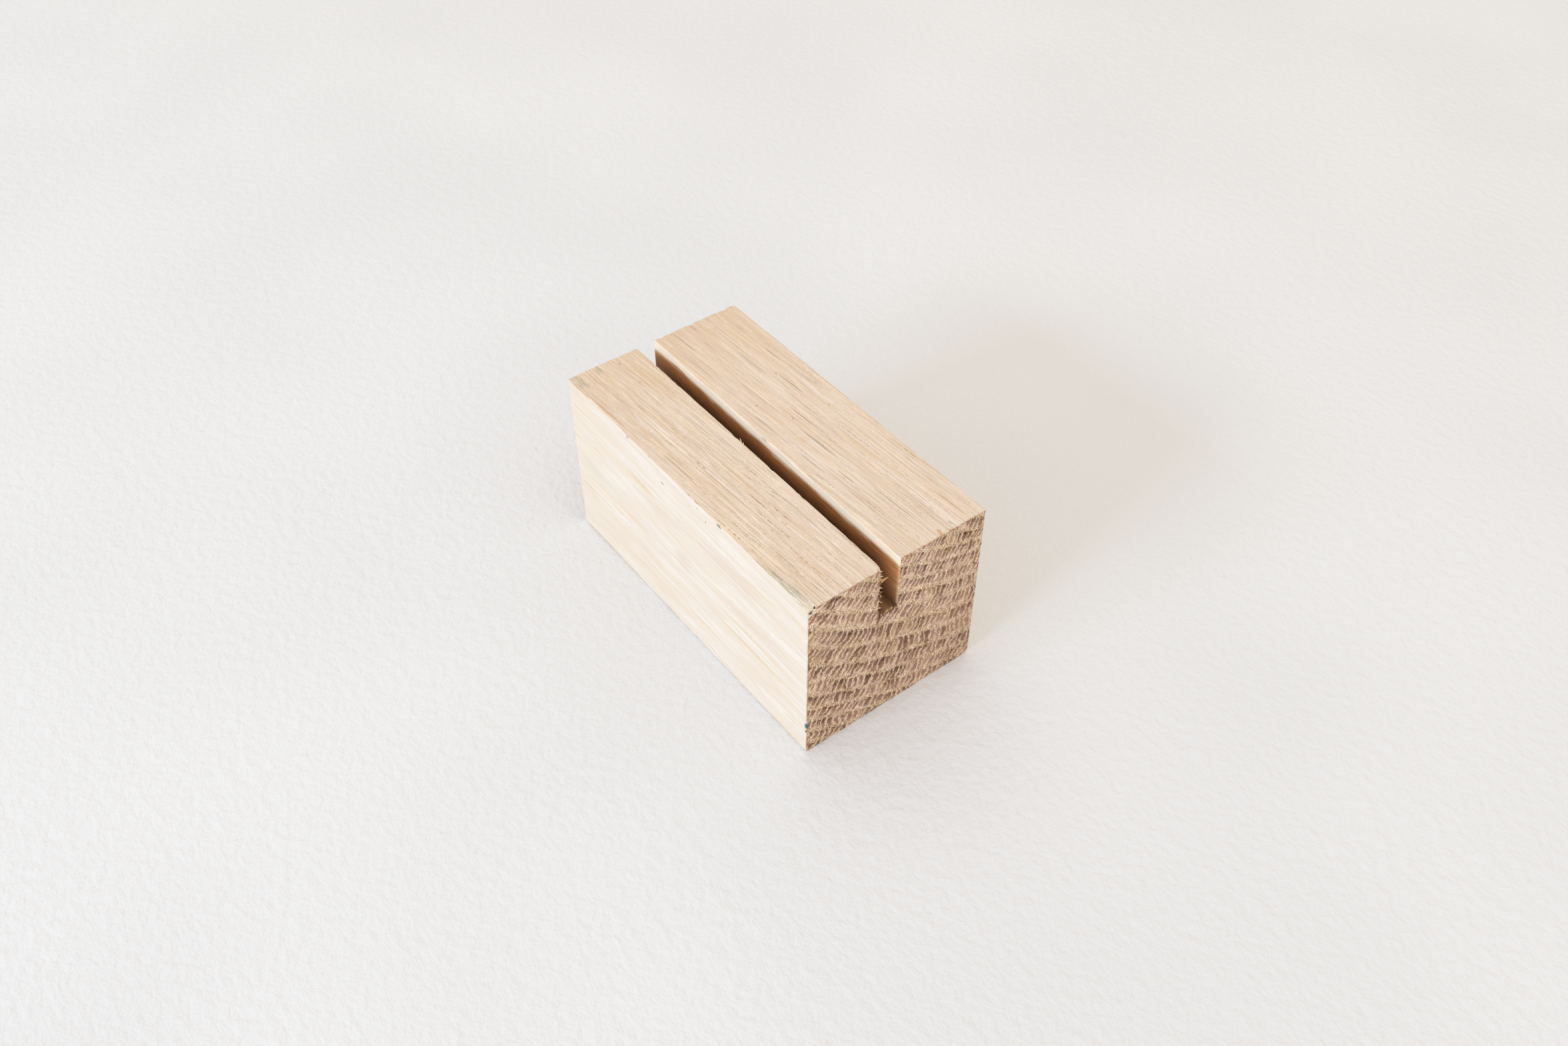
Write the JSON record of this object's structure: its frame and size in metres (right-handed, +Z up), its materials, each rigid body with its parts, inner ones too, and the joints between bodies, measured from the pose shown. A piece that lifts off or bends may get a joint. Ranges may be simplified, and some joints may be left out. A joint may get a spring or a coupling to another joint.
{
  "type": "photo block holder",
  "caption": "Solid oak block with a straight slot sawn along its top, which holds a photograph or a card upright.",
  "frame": {"origin": "middle of the base, where the block rests on a surface", "axes": "+X along the grain and the slot, towards the near end; +Y from the front side to the rear side; +Z up"},
  "size_m": [0.061, 0.032, 0.031],
  "materials": {
    "oak": "bare oak, planed on the front side, sawn on the top, the ends and in the slot"
  },
  "bodies": {
    "root": {"block": "oak"}
  },
  "joints": []
}
